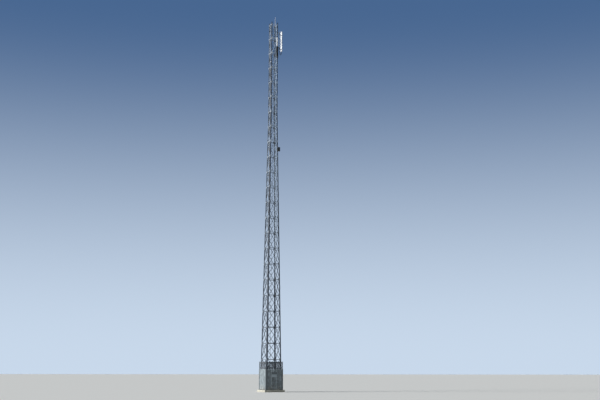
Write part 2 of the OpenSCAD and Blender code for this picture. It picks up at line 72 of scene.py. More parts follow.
# Lattice, in metres, as in the CAD part
BAY = 1.5
TIER_BAYS = 6
TIER_H = TIER_BAYS * BAY
KINK_Z = 3 * TIER_H
TOWER_H = 4 * TIER_H
BASE_W = 1.55
TOP_W = 0.69
SLOPE = (BASE_W - TOP_W) / 2 / KINK_Z
LEAN = math.atan(SLOPE)
LEG_SIZES = (0.110, 0.100, 0.090, 0.080)
LEG_T = 0.009
SPLICE_UP = BAY / 2
SPLICE_T = 0.008
BRACE_SIZES = (0.045, 0.045, 0.040, 0.040)
BRACE_T = 0.005
GUSSET_T = 0.006
TOE_ROOM = 0.044
BOLT_OFF = 0.065
GUSSET_FACE = SEAT + GUSSET_T
OUTER_BAR_FACE = GUSSET_FACE - SINK + BRACE_T
INNER_BAR_BACK = SEAT + SINK - BRACE_T
LEG_ROWS = (0.034, 0.078)
SPLICE_ROWS = (-0.17, -0.105, -0.04, 0.04, 0.105, 0.17)

# Bolts on a leg's flange: their distance from its heel, as a share of its width
LEG_GAUGE = 0.65
SPLICE_GAUGE = 0.56

# Bolt sizes in metres, and their washers, hexagons and threads as shares of a bolt's size
LATTICE_BOLT = 0.014
LEG_BOLT = 0.018
ARM_BOLT = 0.012
SMALL_BOLT = 0.008
WASHER_R = 1.05
WASHER_T = 0.16
HEXAGON_R = 0.88
HEAD_RIM = 0.68
HEAD_TOP = 0.8
HEAD_TOP_R = 0.7
NUT_END = 0.98
THREAD_R = 0.5
THREAD_END = 1.5

# Foot, cladding and guard rings
PLINTH_H = 0.2
FOOT_T = 0.025
FOOT_Z = PLINTH_H + FOOT_T
CLEAT_H = 0.18
CLEAT_T = 0.01
CLEAT_GAP = 0.045
CLEAT_FACE = SEAT + CLEAT_T
LOW_STRUT = FOOT_Z + CLEAT_H + CLEAT_GAP
CLAD_ROOM = 0.075
CLAD_GAP = 0.03
CLAD_HALF = BASE_W / 2 + CLAD_ROOM
CLAD_BOTTOM = PLINTH_H + CLAD_GAP
CLAD_TOP = 2.1
POST_T = 0.005
SHEET_T = 0.002
SHEET_END = 0.002
SHEET_RIBS = 7
SHEET_PITCH = 2 * (CLAD_HALF - POST_T - SHEET_END) / SHEET_RIBS
RIB_D = 0.018
SHEET_FACE = CLAD_HALF + SEAT + SHEET_T
RIB_FACE = CLAD_HALF + SEAT + RIB_D
RAIL_IN = 0.07
RAIL_HALF = 0.03
RAIL_Z = (CLAD_BOTTOM + RAIL_IN, (CLAD_BOTTOM + CLAD_TOP) / 2 + RAIL_HALF, CLAD_TOP - RAIL_IN)
TRIM_SEAT = 0.0002
TRIM_W = 0.18
TRIM_T = 0.0015
TRIM_FACE = RIB_FACE + TRIM_SEAT
RING_R = 0.32
RING_T = 0.004
RING_STRIP = 0.026
RING_COUNT = 5
RING_LIFT = 0.03
WIRE_R = 0.004
WIRE_IN = POST_T + SEAT + WIRE_R
RING_FACE = CLAD_HALF - WIRE_IN
RING_Z = CLAD_TOP + RING_LIFT + RING_R
RING_PITCH = 2 * (CLAD_HALF - RING_R - 2 * WIRE_IN) / (RING_COUNT - 1)

# Feeder cables inside the left face
FEEDER_R = 0.014
FEEDER_COUNT = 4
FEEDER_PITCH = 0.042
FEEDER_DROP = 3.9
FEEDER_TOP = TOWER_H - FEEDER_DROP
HANGER_T = 0.005
HANGER_HALF = 0.015
HANGER_ROOM = 0.045
FEEDER_DEPTH = -BRACE_SIZES[0] - HANGER_T - SEAT - FEEDER_R
FEEDER_IN = LEG_SIZES[0] + TOE_ROOM + HANGER_ROOM

# Antenna, its pipe and its arms
PIPE_OFF = 0.2
PIPE_X = TOP_W / 2 + PIPE_OFF
PIPE_Y = LEG_SIZES[3] / 2 - TOP_W / 2
PIPE_R = 0.03
ARM_H = 0.08
ARM_LOW = 0.1
ARM_Z = tuple(TOWER_H - bays * BAY - ARM_LOW - ARM_H / 2 for bays in (1.5, 0.5))
ARM_BEAM = 0.05
ARM_WALL = 0.014
ARM_PLATE_T = 0.01
ARM_PLATE = SEAT + ARM_PLATE_T
CLAMP_BEAM = 0.04
CLAMP_WALL = 0.012
CLAMP_H = 0.06
CLAMP_GAP = 0.09
CLAMP_Z = tuple(z - CLAMP_GAP - CLAMP_H for z in ARM_Z)
ANTENNA_H = 2.05
ANTENNA_D = 0.085
ANTENNA_LOW = 0.09
ANTENNA_YAW = 22
ANTENNA_REACH = 0.265
ANTENNA_BOTTOM = (ARM_Z[0] + ARM_Z[1] + ARM_H) / 2 - ANTENNA_LOW - ANTENNA_H / 2
ANTENNA_BACK = ANTENNA_REACH - ANTENNA_D / 2
PLUG_PITCH = 0.032
JUMPER_R = 0.0065

# Channel with the radio and filter units, and the link box
CHANNEL_W = 0.041
CHANNEL_IN = 0.005
CHANNEL_X = TOP_W / 2 - LEG_SIZES[3] - TOE_ROOM - CHANNEL_IN
UNIT_BACK = -TOP_W / 2 - GUSSET_T - BRACE_SIZES[3] - CHANNEL_W - 3 * SEAT
UNIT_GAP = 0.05
RADIO_H = 0.48
RADIO_D = 0.12
RADIO_DROP = 0.4
RADIO_BOTTOM = TOWER_H - 2 * BAY - RADIO_DROP
RADIO_Z = (RADIO_BOTTOM, RADIO_BOTTOM + RADIO_H + UNIT_GAP)
SOCKET_PITCH = 0.034
FILTER_Z = RADIO_Z[1] + RADIO_H + 2 * UNIT_GAP
FILTER_H = 0.86
FILTER_W = 0.12
FILTER_D = 0.14
LINK_DROP = 4.02
LINK_Z = KINK_Z - LINK_DROP
LINK_H = 0.39
LINK_W = 0.29
LINK_D = 0.12
LINK_HOLDER = 0.06
LINK_FRONT = SEAT + LINK_HOLDER + LINK_D

# Tones, and where they change: places and sizes in metres
SHEET_TONE = (0.198, 0.237, 0.26)
# The bar tones lighten with height: painted light on bars left in shade; the second pair, for the left
# lattice that the key lights, rises less.
LOW_BAR_TONE = (0.12, 0.145, 0.18)
HIGH_BAR_TONE = (0.4, 0.49, 0.6)
LOW_SIDE_TONE = (0.14, 0.17, 0.21)
HIGH_SIDE_TONE = (0.25, 0.29, 0.34)
# The legs' tones: the first near black, painted shade on every leg; the second lighter, painted sunlight on
# the back-right leg over some heights.
SHADED_LEG_TONE = (0.034, 0.05, 0.08)
LIT_LEG_TONE = (0.34, 0.4, 0.47)
DULL_TONE = (0.115, 0.135, 0.16)
BRIGHT_TONE = (0.34, 0.36, 0.4)
# Guard rings: bright zinc darkened, which is painted shade.
RING_SHADE_TONE = (0.1, 0.115, 0.135)
JACKET_TONE = (0.03, 0.03, 0.032)
WHITE_TONE = (0.84, 0.86, 0.88)
PALE_TONE = (0.5, 0.52, 0.55)
DARK_TONE = (0.032, 0.038, 0.045)
CONCRETE_TONE = (0.36, 0.355, 0.31)
PORE_TONE = (0.2, 0.18, 0.15)
SOIL = (0.2, 0.165, 0.12)
RUST = (0.17, 0.08, 0.04)
DARK_PATCH_AT = (-0.05, -0.86, 0.83)
DARK_PATCH_SIZE = (0.3, 0.2, 0.72)
LIT_BAR_OVER = (10.0, 24.0)
LIT_LEG_OVER = (TIER_H + SPLICE_UP, 12.0)

dice = random.Random(7)


def turned(angle, axis):
    """A turn of so many degrees round one axis."""
    return Matrix.Rotation(math.radians(angle), 4, axis)


def moved(x, y, z):
    return Matrix.Translation((x, y, z))


def point_around(bearing, height, away):
    """A point that far from the tower's axis, at a compass bearing from +Y."""
    turn = math.radians(bearing)
    return Vector((math.sin(turn) * away, math.cos(turn) * away, height))


def make_camera():
    """The photograph's camera, which stands to the front left and has the tower left of its middle."""
    data = bpy.data.cameras.new("photo_camera")
    data.sensor_width = SENSOR_MM
    data.lens = FOCAL_PX / PHOTO_WIDE * SENSOR_MM
    data.clip_start = SEE_FROM
    data.clip_end = SEE_TO
    camera = bpy.data.objects.new("photo_camera", data)
    bpy.context.scene.collection.objects.link(camera)
    camera.location = point_around(TOWER_TURN + 180, EYE_HEIGHT, EYE_AWAY)
    pitch = math.radians(EYE_PITCH)
    ahead = point_around(TOWER_TURN + TOWER_LEFT, math.sin(pitch), math.cos(pitch))
    roll = turned(EYE_ROLL, "Z").to_quaternion()
    camera.rotation_mode = "QUATERNION"
    camera.rotation_quaternion = ahead.to_track_quat("-Z", "Y") @ roll
    bpy.context.scene.camera = camera


def make_key():
    """A wide soft light from the left."""
    data = bpy.data.lights.new("key", "SUN")
    data.energy = KEY_STRENGTH
    data.angle = math.radians(KEY_ANGLE)
    data.color = KEY_COLOUR
    key = bpy.data.objects.new("key", data)
    bpy.context.scene.collection.objects.link(key)
    rise = math.radians(KEY_HEIGHT)
    source = point_around(KEY_TURN, math.sin(rise), math.cos(rise))
    key.rotation_mode = "QUATERNION"
    key.rotation_quaternion = source.to_track_quat("Z", "Y")


def make_world():
    """An even fill on the tower, and for the camera alone a blue backdrop that deepens with height."""
    world = bpy.data.worlds.new("studio")
    world.use_nodes = True
    tree = world.node_tree
    fill = tree.nodes["Background"]
    put(tree, fill.inputs["Color"], FILL_COLOUR)
    put(tree, fill.inputs["Strength"], FILL_STRENGTH)
    direction = tree.nodes.new("ShaderNodeTexCoord").outputs["Object"]
    rising = span(tree, height_in(tree, direction), 0.0, BACKDROP_RISE)
    rising.node.interpolation_type = "SMOOTHSTEP"
    backdrop = tree.nodes.new("ShaderNodeBackground")
    put(tree, backdrop.inputs["Color"], blend(tree, rising, BACKDROP_LOW, BACKDROP_HIGH))
    seen = tree.nodes.new("ShaderNodeLightPath")
    choose = tree.nodes.new("ShaderNodeMixShader")
    put(tree, choose.inputs["Fac"], seen.outputs["Is Camera Ray"])
    put(tree, choose.inputs[1], fill.outputs["Background"])
    put(tree, choose.inputs[2], backdrop.outputs["Background"])
    put(tree, tree.nodes["World Output"].inputs["Surface"], choose.outputs["Shader"])
    bpy.context.scene.world = world
    bpy.context.scene.view_settings.view_transform = "Standard"


def make_floor():
    """A plain pale floor."""
    bm = bmesh.new()
    bmesh.ops.create_grid(bm, x_segments=1, y_segments=1, size=FLOOR_REACH)
    mesh = shape("floor", bm)
    floor = bpy.data.objects.new("floor", mesh)
    bpy.context.scene.collection.objects.link(floor)
    paint = bpy.data.materials.new("floor_paint")
    paint.use_nodes = True
    tree = paint.node_tree
    shader = tree.nodes["Principled BSDF"]
    put(tree, shader.inputs["Base Color"], FLOOR_COLOUR)
    put(tree, shader.inputs["Roughness"], 0.9)
    put(tree, shader.inputs["Specular IOR Level"], 0.0)
    mesh.materials.append(paint)


# Nodes of the finishes

def put(tree, socket, value):
    """Links a socket to another node's output, or sets it."""
    if isinstance(value, bpy.types.NodeSocket):
        tree.links.new(value, socket)
    elif socket.type == "RGBA":
        socket.default_value = (*value, 1)
    else:
        socket.default_value = value


def new_finish(name, metal):
    """A new material, with its nodes, its shader and the place on the tower that its patterns read."""
    mat = bpy.data.materials.new(name)
    mat.use_nodes = True
    tree = mat.node_tree
    shader = tree.nodes["Principled BSDF"]
    put(tree, shader.inputs["Metallic"], metal)
    place = tree.nodes.new("ShaderNodeTexCoord").outputs["Object"]
    return mat, tree, shader, place


def height_in(tree, place):
    split = tree.nodes.new("ShaderNodeSeparateXYZ")
    put(tree, split.inputs["Vector"], place)
    return split.outputs["Z"]


def span(tree, value, low, high, start=0.0, end=1.0):
    """Stretches what lies between low and high to between start and end."""
    node = tree.nodes.new("ShaderNodeMapRange")
    put(tree, node.inputs["Value"], value)
    put(tree, node.inputs["From Min"], low)
    put(tree, node.inputs["From Max"], high)
    put(tree, node.inputs["To Min"], start)
    put(tree, node.inputs["To Max"], end)
    return node.outputs["Result"]


def blotches(tree, place, scale, low, high, detail=4.0, stretch=(1, 1, 1)):
    """Soft patches from 0 to 1, so many to the metre."""
    drawn = tree.nodes.new("ShaderNodeMapping")
    put(tree, drawn.inputs["Vector"], place)
    put(tree, drawn.inputs["Scale"], stretch)
    noise = tree.nodes.new("ShaderNodeTexNoise")
    put(tree, noise.inputs["Vector"], drawn.outputs["Vector"])
    put(tree, noise.inputs["Scale"], scale)
    put(tree, noise.inputs["Detail"], detail)
    return span(tree, noise.outputs["Fac"], low, high)


def times(tree, a, b):
    node = tree.nodes.new("ShaderNodeMath")
    node.operation = "MULTIPLY"
    put(tree, node.inputs[0], a)
    put(tree, node.inputs[1], b)
    return node.outputs[0]


def blend(tree, amount, a, b, how="MIX"):
    """Mixes two colours. Such a node keeps its colours at sockets 6 and 7 and its result at 2."""
    node = tree.nodes.new("ShaderNodeMix")
    node.data_type = "RGBA"
    node.blend_type = how
    put(tree, node.inputs[0], amount)
    put(tree, node.inputs[6], a)
    put(tree, node.inputs[7], b)
    return node.outputs[2]


def shaded(tone, factor):
    """The same tone, so many times as light."""
    return tuple(min(1.0, channel * factor) for channel in tone)


def worn_tone(tree, place, tone, patch, contrast, runs):
    """Light and dark patches of a tone, so many to the metre, with the streaks that rain leaves."""
    patches = blotches(tree, place, scale=patch, low=0.32, high=0.68, stretch=(1, 1, 0.6))
    colour = blend(tree, patches, shaded(tone, 1 - contrast), shaded(tone, 1 + contrast))
    streaks = blotches(tree, place, scale=1.0, low=0.45, high=0.8, detail=3.0, stretch=(17, 17, 0.7))
    return blend(tree, times(tree, streaks, runs), colour, shaded(tone, 0.4))


def soiled(tree, place, colour, low, high, amount):
    """Splashed soil, thickest at the low height and gone at the high one."""
    near_ground = span(tree, height_in(tree, place), low, high, start=amount, end=0.0)
    splashes = blotches(tree, place, scale=6.0, low=0.3, high=0.7, detail=5.0)
    return blend(tree, times(tree, near_ground, splashes), colour, SOIL)


def near_point(tree, place, centre, size):
    """1 around a point, falling unevenly to 0 at the edge of a rounded patch of that size."""
    patch = tree.nodes.new("ShaderNodeMapping")
    put(tree, patch.inputs["Vector"], place)
    put(tree, patch.inputs["Scale"], [2 / length for length in size])
    put(tree, patch.inputs["Location"], [-2 * at / length for at, length in zip(centre, size)])
    away = tree.nodes.new("ShaderNodeVectorMath")
    away.operation = "LENGTH"
    put(tree, away.inputs[0], patch.outputs["Vector"])
    fading = span(tree, away.outputs["Value"], 0.7, 1.1, start=1.0, end=0.0)
    return times(tree, fading, blotches(tree, place, scale=9.0, low=0.3, high=0.6))


def grained(tree, shader, place, colour, scale, rough, relief):
    """Puts a colour on the surface, with a fine grain in its gloss and its relief."""
    fine = blotches(tree, place, scale, low=0.25, high=0.75, detail=3.0)
    put(tree, shader.inputs["Base Color"], colour)
    put(tree, shader.inputs["Roughness"], span(tree, fine, 0.0, 1.0, rough - 0.1, rough + 0.1))
    bump = tree.nodes.new("ShaderNodeBump")
    put(tree, bump.inputs["Strength"], relief)
    put(tree, bump.inputs["Distance"], 0.002)
    put(tree, bump.inputs["Height"], fine)
    put(tree, shader.inputs["Normal"], bump.outputs["Normal"])


# Finishes

def spangled(tree, place, colour):
    """The crystals of a zinc coat, each a little lighter or darker than the next."""
    crystals = tree.nodes.new("ShaderNodeTexVoronoi")
    put(tree, crystals.inputs["Vector"], place)
    put(tree, crystals.inputs["Scale"], 70.0)
    spangle = span(tree, crystals.outputs["Color"], 0.0, 1.0, start=0.86, end=1.14)
    grey = tree.nodes.new("ShaderNodeCombineColor")
    for channel in ("Red", "Green", "Blue"):
        put(tree, grey.inputs[channel], spangle)
    return blend(tree, 1.0, colour, grey.outputs["Color"], how="MULTIPLY")


def galvanised(name, tone, metal, rough, rust, lit_top_tone=None, lit_over=LIT_BAR_OVER):
    """Weathered zinc with rain streaks and rust spots, which over some heights turns to a lighter tone of
    painted light.
    """
    mat, tree, shader, place = new_finish(name, metal)
    wear = {"patch": 1.1, "contrast": 0.28, "runs": 0.3}
    colour = worn_tone(tree, place, tone, **wear)
    if lit_top_tone:
        risen = span(tree, height_in(tree, place), *lit_over)
        colour = blend(tree, risen, colour, worn_tone(tree, place, lit_top_tone, **wear))
    colour = spangled(tree, place, colour)
    spots = blotches(tree, place, scale=7.0, low=0.6, high=0.72, detail=6.0, stretch=(1, 1, 0.55))
    colour = blend(tree, times(tree, spots, rust), colour, RUST)
    grained(tree, shader, place, colour, scale=120.0, rough=rough, relief=0.2)
    return mat


def cladding_coat():
    """Blue-grey coated sheet with painted shade along its ribs and in its dents, darkened in a patch below
    its plate, and splashed with soil.
    """
    mat, tree, shader, place = new_finish("cladding_coat", 0.0)
    # Rain streaks, made strong here so that they also paint the shade along the ribs.
    colour = worn_tone(tree, place, SHEET_TONE, patch=3.4, contrast=0.5, runs=0.6)
    # Upright darker bands: painted shade along the ribs.
    rib_shade_bands = blotches(tree, place, scale=1.0, low=0.38, high=0.62, detail=1.0, stretch=(2.3, 2.3, 0.15))
    colour = blend(tree, times(tree, rib_shade_bands, 0.3), colour, shaded(SHEET_TONE, 0.5))
    # Dark spots: painted shade of dents.
    dent_shade = blotches(tree, place, scale=7.5, low=0.52, high=0.66, detail=5.0, stretch=(1, 1, 0.8))
    colour = blend(tree, times(tree, dent_shade, 0.55), colour, shaded(SHEET_TONE, 0.35))
    # A darker patch below the plate.
    dark_patch = times(tree, near_point(tree, place, DARK_PATCH_AT, DARK_PATCH_SIZE), 0.52)
    colour = blend(tree, dark_patch, colour, shaded(SHEET_TONE, 0.4))
    colour = soiled(tree, place, colour, low=CLAD_BOTTOM, high=0.75, amount=0.6)
    grained(tree, shader, place, colour, scale=90.0, rough=0.5, relief=0.12)
    return mat


def concrete():
    """Cast concrete with stains, pores and soil round its foot."""
    mat, tree, shader, place = new_finish("concrete", 0.0)
    colour = worn_tone(tree, place, CONCRETE_TONE, patch=3.0, contrast=0.18, runs=0.3)
    pores = blotches(tree, place, scale=85.0, low=0.6, high=0.68, detail=2.0)
    colour = blend(tree, times(tree, pores, 0.6), colour, PORE_TONE)
    colour = soiled(tree, place, colour, low=0.0, high=0.16, amount=0.7)
    grained(tree, shader, place, colour, scale=55.0, rough=0.85, relief=0.55)
    return mat


def cable_jacket():
    """Black polyethylene, greyed by sun and dust."""
    mat, tree, shader, place = new_finish("cable_jacket", 0.0)
    colour = worn_tone(tree, place, JACKET_TONE, patch=2.5, contrast=0.35, runs=0.3)
    grained(tree, shader, place, colour, scale=160.0, rough=0.55, relief=0.08)
    return mat


def moulded_shell(name, tone, grime):
    """Painted or moulded housing, with faint grime that rain has drawn down."""
    mat, tree, shader, place = new_finish(name, 0.0)
    colour = worn_tone(tree, place, tone, patch=1.8, contrast=0.05, runs=grime)
    grained(tree, shader, place, colour, scale=200.0, rough=0.42, relief=0.05)
    return mat


def dark_paint():
    """Dark grey powder coat, faded in patches."""
    mat, tree, shader, place = new_finish("dark_paint", 0.0)
    colour = worn_tone(tree, place, DARK_TONE, patch=2.2, contrast=0.3, runs=0.25)
    grained(tree, shader, place, colour, scale=180.0, rough=0.5, relief=0.12)
    return mat


def make_finishes():
    """One finish for each material slot of the record, and some for pieces that differ from their slot."""
    bars = {"metal": 0.2, "rough": 0.55, "rust": 0.35}
    legs = {"metal": 0.1, "rough": 0.7, "rust": 0.12}
    lit = {"lit_top_tone": LIT_LEG_TONE, "lit_over": LIT_LEG_OVER}
    return {
        "concrete": concrete(),
        # Bars lighten with height, which is painted light; the left side rises less.
        "zinc": galvanised("zinc", LOW_BAR_TONE, lit_top_tone=HIGH_BAR_TONE, **bars),
        "side_zinc": galvanised("side_zinc", LOW_SIDE_TONE, lit_top_tone=HIGH_SIDE_TONE, **bars),
        # Legs: painted shade, and on the back-right leg painted sunlight over some heights.
        "leg_zinc": galvanised("leg_zinc", SHADED_LEG_TONE, **legs),
        "lit_leg_zinc": galvanised("lit_leg_zinc", SHADED_LEG_TONE, **legs, **lit),
        "dull_zinc": galvanised("dull_zinc", DULL_TONE, metal=0.35, rough=0.64, rust=0.5),
        "bright_zinc": galvanised("bright_zinc", BRIGHT_TONE, metal=0.5, rough=0.45, rust=0.25),
        # The guard rings and their blades: painted shade on bright zinc.
        "shaded_ring_zinc": galvanised("shaded_ring_zinc", RING_SHADE_TONE, metal=0.45, rough=0.5, rust=0.4),
        "sheet": cladding_coat(),
        # The corner trims' coat, darker than the sheet: painted shade along the corners.
        "trim_shade_coat": moulded_shell("trim_shade_coat", shaded(SHEET_TONE, 0.55), grime=0.3),
        "plate_coat": moulded_shell("plate_coat", shaded(SHEET_TONE, 1.35), grime=0.2),
        # The dark band over the plate's head: painted shade.
        "shade_band_coat": moulded_shell("shade_band_coat", shaded(SHEET_TONE, 0.5), grime=0.2),
        "cable_jacket": cable_jacket(),
        "white_shell": moulded_shell("white_shell", WHITE_TONE, grime=0.1),
        "pale_shell": moulded_shell("pale_shell", PALE_TONE, grime=0.2),
        "dark_paint": dark_paint(),
    }


def finish_of(node, slot):
    """Which finish a CAD node gets: its slot's, or one of its own: painted shade on the guard rings and the
    legs, painted sunlight on the back-right leg, and less painted light on the left lattice.
    """
    if node == "guard_rings":
        return "shaded_ring_zinc"
    if node.endswith("_leg_back_right"):
        return "lit_leg_zinc"
    if "_leg_" in node:
        return "leg_zinc"
    if node.startswith("lattice_left"):
        return "side_zinc"
    return slot


def dress_cad():
    """Puts the finishes on the CAD nodes."""
    for row in frame["record"]["subparts"]:
        mesh = frame["nodes"][row["node"]].data
        mesh.materials.clear()
        mesh.materials.append(finishes[finish_of(row["node"], row["material_slot"])])


# Shapes that are repeated, and the pieces made of them

def prism(bm, sides, radius, bottom, top, upper=None, where=Matrix()):
    """A closed prism up the z axis of a place, narrowed towards its top if an upper radius is given."""
    end = radius if upper is None else upper
    middle = where @ moved(0, 0, (bottom + top) / 2)
    bmesh.ops.create_cone(bm, cap_ends=True, segments=sides, radius1=radius, radius2=end,
                          depth=top - bottom, matrix=middle)


def block(bm, low, high, edge=0.0):
    """A block between two corners, its edges rounded off if an edge is given."""
    size = Vector(high) - Vector(low)
    where = Matrix.Translation((Vector(high) + Vector(low)) / 2) @ Matrix.Diagonal((*size, 1))
    corners = bmesh.ops.create_cube(bm, size=1.0, matrix=where)["verts"]
    if edge:
        rims = list(dict.fromkeys(rim for corner in corners for rim in corner.link_edges))
        bmesh.ops.bevel(bm, geom=rims, offset=edge, segments=2, affect="EDGES", profile=0.5, material=-1)


def shape(name, bm):
    """Turns a bmesh's faces outwards and keeps it as a mesh."""
    bmesh.ops.recalc_face_normals(bm, faces=bm.faces)
    mesh = bpy.data.meshes.new(name)
    bm.to_mesh(mesh)
    bm.free()
    return mesh


def add_piece(name, data, slot, finish=None):
    """Adds a finished mesh or curve to the tower."""
    piece = bpy.data.objects.new(name, data)
    bpy.context.scene.collection.objects.link(piece)
    data.materials.append(finishes[finish or slot])
    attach(piece, "root")


def lay_out(name, slot, places, finish=None):
    """Joins copies of shapes into one piece: places is a list of (shape, matrix)."""
    bm = bmesh.new()
    for pattern, where in places:
        copy = pattern.copy()
        copy.transform(where)
        bm.from_mesh(copy)
        bpy.data.meshes.remove(copy)
    mesh = bpy.data.meshes.new(name)
    bm.to_mesh(mesh)
    bm.free()
    add_piece(name, mesh, slot, finish)


def run_rounds(name, slot, routes, radius):
    """Round cables or rods, each along a smooth curve through its points."""
    data = bpy.data.curves.new(name, "CURVE")
    data.dimensions = "3D"
    data.bevel_depth = radius
    data.bevel_resolution = 2
    data.resolution_u = 8
    data.use_fill_caps = True
    for route in routes:
        line = data.splines.new("BEZIER")
        line.bezier_points.add(len(route) - 1)
        for knot, point in zip(line.bezier_points, route):
            knot.co = point
            knot.handle_left_type = "AUTO"
            knot.handle_right_type = "AUTO"
    add_piece(name, data, slot)


def bolt_head(size):
    """A hexagon head on its washer, standing on z = 0."""
    washer_t = size * WASHER_T
    rim = size * HEAD_RIM
    bm = bmesh.new()
    prism(bm, 12, size * WASHER_R, 0.0, washer_t)
    prism(bm, 6, size * HEXAGON_R, washer_t, rim)
    prism(bm, 6, size * HEXAGON_R, rim, size * HEAD_TOP, upper=size * HEAD_TOP_R)
    return shape("bolt_head", bm)


def bolt_nut(size):
    """A nut on its washer with the bolt's end, hanging under z = 0."""
    washer_t = size * WASHER_T
    nut_end = size * NUT_END
    bm = bmesh.new()
    prism(bm, 12, size * WASHER_R, -washer_t, 0.0)
    prism(bm, 6, size * HEXAGON_R, -nut_end, -washer_t)
    prism(bm, 8, size * THREAD_R, -size * THREAD_END, -nut_end)
    return shape("bolt_nut", bm)


def bolt_pair(size):
    return bolt_head(size), bolt_nut(size)


def bolt_through(places, bolt, where, grip):
    """A bolt along the local z axis: its head at the place, its nut the grip behind it."""
    head, nut = bolt
    twist = turned(dice.uniform(0, 60), "Z")
    places.append((head, where @ twist))
    places.append((nut, where @ moved(0, 0, -grip) @ twist))


def four_places(across, low, high):
    """The four places of a fastening: so far to each side, low and high."""
    return [(way * across, z) for way in (-1, 1) for z in (low, high)]


# Places on the lattice, the same as in the CAD part

def half_w(z):
    """Half the width over the legs' heels at a height."""
    return BASE_W / 2 - SLOPE * z if z < KINK_Z else TOP_W / 2


def leg_w_at(z):
    """The flange width of the legs at a height."""
    step = int((z - SPLICE_UP) / TIER_H) if z > SPLICE_UP else 0
    return LEG_SIZES[min(3, step)]


def bolt_u(z):
    """How far from a side's middle the bars are bolted to the gusset plates."""
    return half_w(z) - leg_w_at(z) - TOE_ROOM


def level_z(level):
    """The height of a strut line."""
    return level * BAY if level else LOW_STRUT


def up(z, tier):
    """Distance up the leaning or upright side of a height above ground."""
    return z / math.cos(LEAN) if tier < 3 else z


def on_side(side, tier, u, v, out):
    """A place on one side: u across, v up the side, out of its face."""
    half = BASE_W / 2 if tier < 3 else TOP_W / 2
    tilt = math.pi / 2 - LEAN if tier < 3 else math.pi / 2
    plane = turned(90 * side, "Z") @ moved(0, -half, 0) @ Matrix.Rotation(tilt, 4, "X")
    return plane @ moved(u, v, out)


# Bolts of the lattice

def gusset_bolts(places, bolt, side, tier, level):
    """The bolts through both gusset plates of one strut level: struts, leg and diagonals."""
    low = level > tier * TIER_BAYS
    high = level < (tier + 1) * TIER_BAYS
    z = level_z(level)
    u = bolt_u(z)
    v = up(z, tier)
    leg_u = half_w(z) - LEG_GAUGE * leg_w_at(z)
    near, far = LEG_ROWS
    rows = [-far, -near] * low + [near, far] * high
    for way in (-1, 1):
        if low or level == 0:
            strut_bolt = on_side(side, tier, way * u, v, GUSSET_FACE)
            bolt_through(places, bolt, strut_bolt, GUSSET_FACE - INNER_BAR_BACK)
        for row in rows:
            leg_bolt = on_side(side, tier, way * leg_u, v + row, GUSSET_FACE)
            bolt_through(places, bolt, leg_bolt, GUSSET_FACE + LEG_T)
        for there, end in ((high, 1), (low, -1)):
            outer = way == -end
            face = OUTER_BAR_FACE if outer else GUSSET_FACE
            back = SEAT if outer else INNER_BAR_BACK
            if there:
                bar_bolt = on_side(side, tier, way * u, v + end * BOLT_OFF, face)
                bolt_through(places, bolt, bar_bolt, face - back)


def crossing_bolt(places, bolt, side, tier, level):
    """The bolt where the two diagonals of one bay cross."""
    low_u = bolt_u(level_z(level))
    high_u = bolt_u(level_z(level + 1))
    low_v = up(level_z(level), tier) + BOLT_OFF
    high_v = up(level_z(level + 1), tier) - BOLT_OFF
    v = low_v + (high_v - low_v) * low_u / (low_u + high_u)
    where = on_side(side, tier, 0, v, OUTER_BAR_FACE)
    bolt_through(places, bolt, where, OUTER_BAR_FACE - INNER_BAR_BACK)


def lattice_bolts():
    """All bolts of the gusset plates and crossings, one piece for each side."""
    bolt = bolt_pair(LATTICE_BOLT)
    for side, word in enumerate(("front", "right", "back", "left")):
        places = []
        for tier in range(4):
            first = tier * TIER_BAYS
            for level in range(first, first + TIER_BAYS + 1):
                gusset_bolts(places, bolt, side, tier, level)
            for level in range(first, first + TIER_BAYS):
                crossing_bolt(places, bolt, side, tier, level)
        lay_out("lattice_bolts_" + word, "bright_zinc", places)


def splice_bolts():
    """Bolts through the cover angles of the three leg splices."""
    bolt = bolt_pair(LEG_BOLT)
    places = []
    for joint in (1, 2, 3):
        tier = 3 if joint == 3 else 0
        for row in SPLICE_ROWS:
            z = joint * TIER_H + SPLICE_UP + row
            u = half_w(z) - SPLICE_GAUGE * LEG_SIZES[joint]
            for side in range(4):
                for way in (-1, 1):
                    where = on_side(side, tier, way * u, up(z, tier), SPLICE_T)
                    bolt_through(places, bolt, where, SPLICE_T + LEG_T)
    lay_out("splice_bolts", "bright_zinc", places)


# Foot, cladding and guard rings

def anchor_nuts():
    """Two nuts on a washer, with the end of an anchor bolt."""
    washer_r = 0.026
    washer_t = 0.004
    nut_r = 0.021
    nut_top = 0.023
    nut_gap = 0.0005
    lock_nut_top = 0.034
    bolt_r = 0.012
    bolt_top = 0.062
    bm = bmesh.new()
    prism(bm, 16, washer_r, 0.0, washer_t)
    prism(bm, 6, nut_r, washer_t, nut_top)
    prism(bm, 6, nut_r, nut_top + nut_gap, lock_nut_top)
    prism(bm, 12, bolt_r, lock_nut_top, bolt_top)
    return shape("anchor_nuts", bm)


def foot_bolts():
    """Anchor bolts in the base plates and bolts through the cleats."""
    anchor = anchor_nuts()
    bolt = bolt_pair(LEG_BOLT)
    middle = half_w(FOOT_Z) - LEG_SIZES[0] / 2
    anchor_off = 0.085
    cleat_u = middle - 0.012
    low_row = FOOT_Z + 0.05
    high_row = FOOT_Z + 0.125
    places = []
    for side in range(4):
        for dx, dy in four_places(anchor_off, -anchor_off, anchor_off):
            where = turned(90 * side, "Z") @ moved(middle + dx, dy - middle, FOOT_Z)
            places.append((anchor, where @ turned(dice.uniform(0, 60), "Z")))
        for u, v in four_places(cleat_u, low_row, high_row):
            where = on_side(side, 0, u, v, CLEAT_FACE)
            bolt_through(places, bolt, where, CLEAT_FACE + LEG_T)
    lay_out("foot_bolts", "dull_zinc", places)


